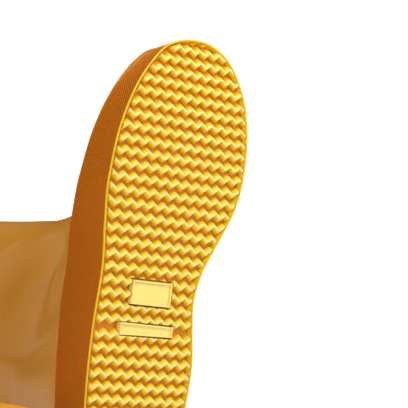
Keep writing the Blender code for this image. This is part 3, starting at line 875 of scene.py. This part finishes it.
def boot_copy(mesh, boot, matrix):
    """Copy of a mesh, mirrored for the left boot and moved into place, that keeps its own coordinates."""
    copy = mesh.copy()
    if boot == "left":
        copy.transform(Matrix.Scale(-1, 4, (1, 0, 0)))
        copy.flip_normals()
    places = np.empty(len(copy.vertices) * 3, dtype=np.float32)
    copy.vertices.foreach_get("co", places)
    copy.attributes.new(BOOT_PLACE, "FLOAT_VECTOR", "POINT").data.foreach_set("vector", places)
    copy.transform(matrix)
    return copy


def place_pieces(meshes, matrices):
    """Adds every piece to both boots; meshes holds the mesh, the body's ending and the slots of each."""
    for boot, matrix in matrices.items():
        for piece, (mesh, body, slot) in meshes.items():
            data = boot_copy(mesh, boot, matrix)
            item = bpy.data.objects.new(f"{boot}_{piece}_piece", data)
            bpy.context.scene.collection.objects.link(item)
            for material in SLOT_MATERIALS.get(piece, (slot,)):
                data.materials.append(MATERIALS[material])
            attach(item, f"{boot}_{body}")
            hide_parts(f"{boot}_{piece}")


def dress_inner_nodes():
    """The CAD solids closed up inside the boots keep their shape and get their materials."""
    slots = {"heel_filler": "filler_rubber", "midsole_filler": "filler_rubber", "shank": "shank_steel",
             "insole_board": "insole_board"}
    for boot in ("right", "left"):
        for piece, slot in slots.items():
            node = bpy.data.objects[f"{boot}_{piece}"]
            node.data.materials.clear()
            node.data.materials.append(MATERIALS[slot])


# ---------------------------------------------------------------- studio

def add_area(name, place, target, width, height, power, color=(1.0, 1.0, 1.0)):
    """Rectangular soft light aimed at a target."""
    data = bpy.data.lights.new(name, "AREA")
    data.shape = "RECTANGLE"
    data.size = width
    data.size_y = height
    data.energy = power
    data.color = color
    light = bpy.data.objects.new(name, data)
    bpy.context.scene.collection.objects.link(light)
    light.location = place
    light.rotation_euler = (Vector(target) - Vector(place)).to_track_quat("-Z", "Y").to_euler()
    light.visible_camera = False
    return light


def add_floor():
    """Pale floor, brighter to the camera with distance so that it has no horizon."""
    size = FLOOR_SIZE
    mesh = new_mesh("floor", ((-size, -size, 0), (size, -size, 0), (size, size, 0), (-size, size, 0)),
                    ((0, 1, 2, 3),))
    floor = bpy.data.objects.new("floor", mesh)
    bpy.context.scene.collection.objects.link(floor)
    material, tree, shader = material_with("floor_paint")
    tree.links.new(ramp(tree, noise(tree, 3.0), ((0.35, (0.90, 0.90, 0.90)), (0.65, (0.93, 0.93, 0.93)))),
                   shader.inputs["Base Color"])
    shader.inputs["Roughness"].default_value = 0.9
    place = tree.nodes.new("ShaderNodeTexCoord")
    away = tree.nodes.new("ShaderNodeVectorMath")
    away.operation = "LENGTH"
    glow = add_node(tree, "ShaderNodeMapRange")
    for name, value in zip(("From Min", "From Max", "To Min", "To Max"), FLOOR_GLOW):
        glow.inputs[name].default_value = value
    path = tree.nodes.new("ShaderNodeLightPath")
    seen = tree.nodes.new("ShaderNodeMath")
    seen.operation = "MULTIPLY"
    tree.links.new(place.outputs["Object"], away.inputs[0])
    tree.links.new(away.outputs["Value"], glow.inputs["Value"])
    tree.links.new(glow.outputs["Result"], seen.inputs[0])
    tree.links.new(path.outputs["Is Camera Ray"], seen.inputs[1])
    tree.links.new(seen.outputs["Value"], shader.inputs["Emission Strength"])
    shader.inputs["Emission Color"].default_value = (1.0, 1.0, 1.0, 1.0)
    mesh.materials.append(material)


def add_world():
    """White to the camera, and a low even light for everything else."""
    world = bpy.data.worlds.new("studio")
    bpy.context.scene.world = world
    world.use_nodes = True
    tree = world.node_tree
    tree.nodes.clear()
    seen = add_node(tree, "ShaderNodeBackground", Color=(1, 1, 1, 1), Strength=BACKDROP_LIGHT)
    ambient = add_node(tree, "ShaderNodeBackground", Color=(1, 1, 1, 1), Strength=AMBIENT_LIGHT)
    path = tree.nodes.new("ShaderNodeLightPath")
    mix = tree.nodes.new("ShaderNodeMixShader")
    out = tree.nodes.new("ShaderNodeOutputWorld")
    tree.links.new(path.outputs["Is Camera Ray"], mix.inputs[0])
    tree.links.new(ambient.outputs[0], mix.inputs[1])
    tree.links.new(seen.outputs[0], mix.inputs[2])
    tree.links.new(mix.outputs[0], out.inputs["Surface"])


def add_camera(right_boot):
    """Camera at a fixed place from the right boot."""
    data = bpy.data.cameras.new("camera")
    data.lens = CAMERA_LENS
    data.sensor_width = 36.0
    data.clip_start = 0.01
    camera = bpy.data.objects.new("camera", data)
    bpy.context.scene.collection.objects.link(camera)
    camera.location = right_boot.translation + Vector(CAMERA_OFFSET)
    camera.rotation_euler = (pi / 2 - CAMERA_ELEVATION, 0.0, CAMERA_AZIMUTH)
    bpy.context.scene.camera = camera


def add_studio():
    """Floor, surroundings and lights."""
    add_floor()
    add_world()
    middle = Vector(LIT_MIDDLE)
    for name, side, distance, width, height, power, color in AIMED_LIGHTS:
        add_area(name, middle + Vector(side) * distance, middle, width, height, power, color)
    for name, place, target, width, height, power in PLACED_LIGHTS:
        add_area(name, place, target, width, height, power)
    bpy.context.scene.view_settings.view_transform = "Standard"
    bpy.context.scene.view_settings.look = "None"


def main():
    meshes = {
        "outsole": (outsole_mesh(), "boot", "sole_rubber"),
        "sole_rim": (rim_mesh(), "boot", "sole_rubber"),
        "foxing": (foxing_mesh(), "boot", "foxing_rubber"),
        "waist_panel": (plate_mesh("waist_panel", WAIST_PANEL, 1.0), "boot", "sole_rubber"),
        "breast_bar": (plate_mesh("breast_bar", BREAST_BAR, BAR_TAPER), "boot", "sole_rubber"),
        "upper": (upper_mesh(), "boot", "upper_rubber"),
        "lining": (lining_mesh(), "boot", "lining_knit"),
        "toe_cap": (toe_cap_mesh(), "boot", "upper_rubber"),
        "heel_counter": (heel_counter_mesh(), "boot", "upper_rubber"),
        "top_band": (top_band_mesh(), "boot", "upper_rubber"),
        "footbed": (plate_layer("footbed", FOOTBED_INSET, FOOTBED_LOW, FOOTBED_LOW + FOOTBED_THICKNESS),
                    "footbed_body", "footbed_foam"),
    }
    matrices = {"right": boot_matrix((pi / 2, -ROLL, pi), "right_sole"),
                "left": boot_matrix((0.0, 0.0, -pi / 2), "left_sole")}
    place_pieces(meshes, matrices)
    dress_inner_nodes()
    add_studio()
    add_camera(matrices["right"])


main()
